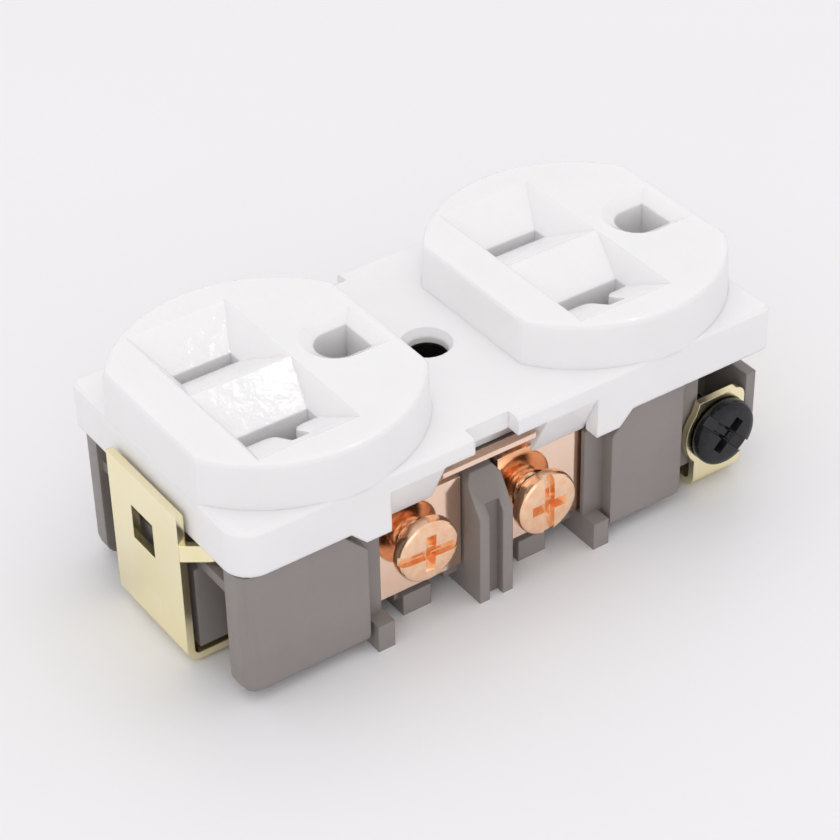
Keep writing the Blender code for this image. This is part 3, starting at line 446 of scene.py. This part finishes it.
def screw_rings(shank, length, radius, thick):
    """Rings of radii from the tip to the crown, with the height of each."""
    rings = []
    count = int(length / THREAD_PITCH * THREAD_RINGS)
    for i in range(count + 1):
        height = length * i / count
        taper = min(1.0, TIP_SHARE + height / TIP_LENGTH * (1.0 - TIP_SHARE))
        ring = [
            thread_radius(height, step / SCREW_STEPS, shank) * taper
            for step in range(SCREW_STEPS)
        ]
        rings.append((height, ring))
    for share, height in HEAD_FOOT:
        rings.append((length + height, [radius * share] * SCREW_STEPS))
    for share, height in HEAD_CROWN:
        rings.append((length + thick * height, [radius * share] * SCREW_STEPS))
    return rings


def lathe(name, rings, place):
    """A closed mesh through the rings, turned about +Z and then placed."""
    work = bmesh.new()
    loops = []
    for height, ring in rings:
        loop = []
        for step, radius in enumerate(ring):
            angle = 2 * math.pi * step / SCREW_STEPS
            spot = Vector((radius * math.cos(angle), radius * math.sin(angle), height))
            loop.append(work.verts.new(place @ (spot * MM)))
        loops.append(loop)
    for lower, upper in zip(loops, loops[1:]):
        for i in range(SCREW_STEPS):
            j = (i + 1) % SCREW_STEPS
            work.faces.new((lower[i], lower[j], upper[j], upper[i]))
    work.faces.new(loops[0])
    work.faces.new(loops[-1])
    bmesh.ops.recalc_face_normals(work, faces=work.faces)
    return linked(name, work)


def linked(name, work):
    """A new object in the scene, made from a bmesh that it uses up."""
    mesh = bpy.data.meshes.new(name)
    work.to_mesh(mesh)
    work.free()
    made = bpy.data.objects.new(name, mesh)
    bpy.context.scene.collection.objects.link(made)
    return made


def tapered_cutter(name, half_x, half_y, depth, crown, draft, place):
    """A bar that sinks into the crown, narrower at its foot."""
    work = bmesh.new()
    top = crown + PAST
    loops = []
    for height, inset in ((crown - depth, draft), (crown, 0.0), (top, 0.0)):
        loop = []
        for sx, sy in ((1, 1), (-1, 1), (-1, -1), (1, -1)):
            spot = Vector(
                (sx * (half_x - inset * END_DRAFT), sy * (half_y - inset), height)
            )
            loop.append(work.verts.new(place @ (spot * MM)))
        loops.append(loop)
    for lower, upper in zip(loops, loops[1:]):
        for i in range(4):
            j = (i + 1) % 4
            work.faces.new((lower[i], lower[j], upper[j], upper[i]))
    work.faces.new(loops[0])
    work.faces.new(loops[-1])
    bmesh.ops.recalc_face_normals(work, faces=work.faces)
    return linked(name, work)


def cut_away(made, cutter):
    """Takes the cutter's shape out of a piece and removes the cutter."""
    step = made.modifiers.new(cutter.name, "BOOLEAN")
    step.operation = "DIFFERENCE"
    step.solver = "EXACT"
    step.object = cutter
    evaluated = made.evaluated_get(bpy.context.evaluated_depsgraph_get())
    mesh = bpy.data.meshes.new_from_object(evaluated)
    made.modifiers.clear()
    made.data = mesh
    bpy.data.objects.remove(cutter, do_unlink=True)


def screw_piece(node, slot, turn, materials):
    """A pan-head screw with a combination drive, where the CAD has its plain one."""
    low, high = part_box(node)
    side = -1 if low.y + high.y < 0 else 1
    radius = (high.x - low.x) / 2 / MM
    reach = (high.y - low.y) / MM
    shank, thick, slot_half = SCREW_SHAPES[slot]
    tip = high.y if side < 0 else low.y
    axis = Vector(((low.x + high.x) / 2, tip, (low.z + high.z) / 2))
    place = Matrix.Translation(axis) @ Matrix.Rotation(math.radians(-90 * side), 4, "X")
    rings = screw_rings(shank, reach - thick, radius, thick)
    made = lathe(f"{node}_piece", rings, place)
    spin = place @ Matrix.Rotation(math.radians(turn), 4, "Z")
    cross = spin @ Matrix.Rotation(math.radians(90), 4, "Z")
    cross_half = slot_half - CROSS_SLIMMER
    cuts = (
        (radius + PAST, slot_half, SLOT_DEPTH, SLOT_DRAFT, spin),
        (CROSS_REACH, cross_half, CROSS_DEPTH, CROSS_DRAFT, spin),
        (CROSS_REACH, cross_half, CROSS_DEPTH, CROSS_DRAFT, cross),
    )
    for i, (half_x, half_y, depth, draft, where) in enumerate(cuts):
        cutter = tapered_cutter(
            f"{node}_drive_{i}", half_x, half_y, depth, reach, draft, where
        )
        cut_away(made, cutter)
    return place_piece(made, node, slot, materials)


# Stage


def camera():
    data = bpy.data.cameras.new("camera")
    data.lens = CAMERA_LENS
    data.sensor_width = CAMERA_SENSOR
    data.clip_start, data.clip_end = CAMERA_CLIP
    made = bpy.data.objects.new("camera", data)
    bpy.context.scene.collection.objects.link(made)
    spot = Vector(CAMERA_SPOT) * MM
    look = (Vector(CAMERA_TARGET) * MM - spot).to_track_quat("-Z", "Y")
    roll = Matrix.Rotation(math.radians(CAMERA_ROLL), 4, "Z")
    made.matrix_world = Matrix.Translation(spot) @ look.to_matrix().to_4x4() @ roll
    bpy.context.scene.camera = made


def softbox(name, spot, size, power):
    """A square light that faces the object, in millimetres and watts."""
    data = bpy.data.lights.new(name, "AREA")
    data.shape = "SQUARE"
    data.size = size * MM
    data.energy = power
    made = bpy.data.objects.new(name, data)
    bpy.context.scene.collection.objects.link(made)
    here = Vector(spot) * MM
    look = (Vector(LIGHT_TARGET) * MM - here).to_track_quat("-Z", "Y")
    made.matrix_world = Matrix.Translation(here) @ look.to_matrix().to_4x4()


def floor():
    work = bmesh.new()
    half = FLOOR_HALF
    corners = [(-half, -half), (half, -half), (half, half), (-half, half)]
    work.faces.new([work.verts.new((x, y, 0.0)) for x, y in corners])
    made = linked("floor", work)
    made.data.materials.append(floor_material())


def room_light():
    world = bpy.data.worlds.new("studio")
    world.use_nodes = True
    back = world.node_tree.nodes["Background"]
    back.inputs["Color"].default_value = (1.0, 1.0, 1.0, 1.0)
    back.inputs["Strength"].default_value = WORLD_LIGHT
    bpy.context.scene.world = world


def studio():
    camera()
    floor()
    room_light()
    for name, (spot, size, power) in SOFTBOXES.items():
        softbox(name, spot, size, power)
    bpy.context.scene.view_settings.view_transform = "Standard"


def build():
    materials = looks()
    for node in sorted(frame["nodes"]):
        slot = slot_of(node)
        if node in SCREW_TURNS:
            screw_piece(node, slot, SCREW_TURNS[node], materials)
        else:
            smooth_piece(node, slot, materials)


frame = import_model()
build()
studio()
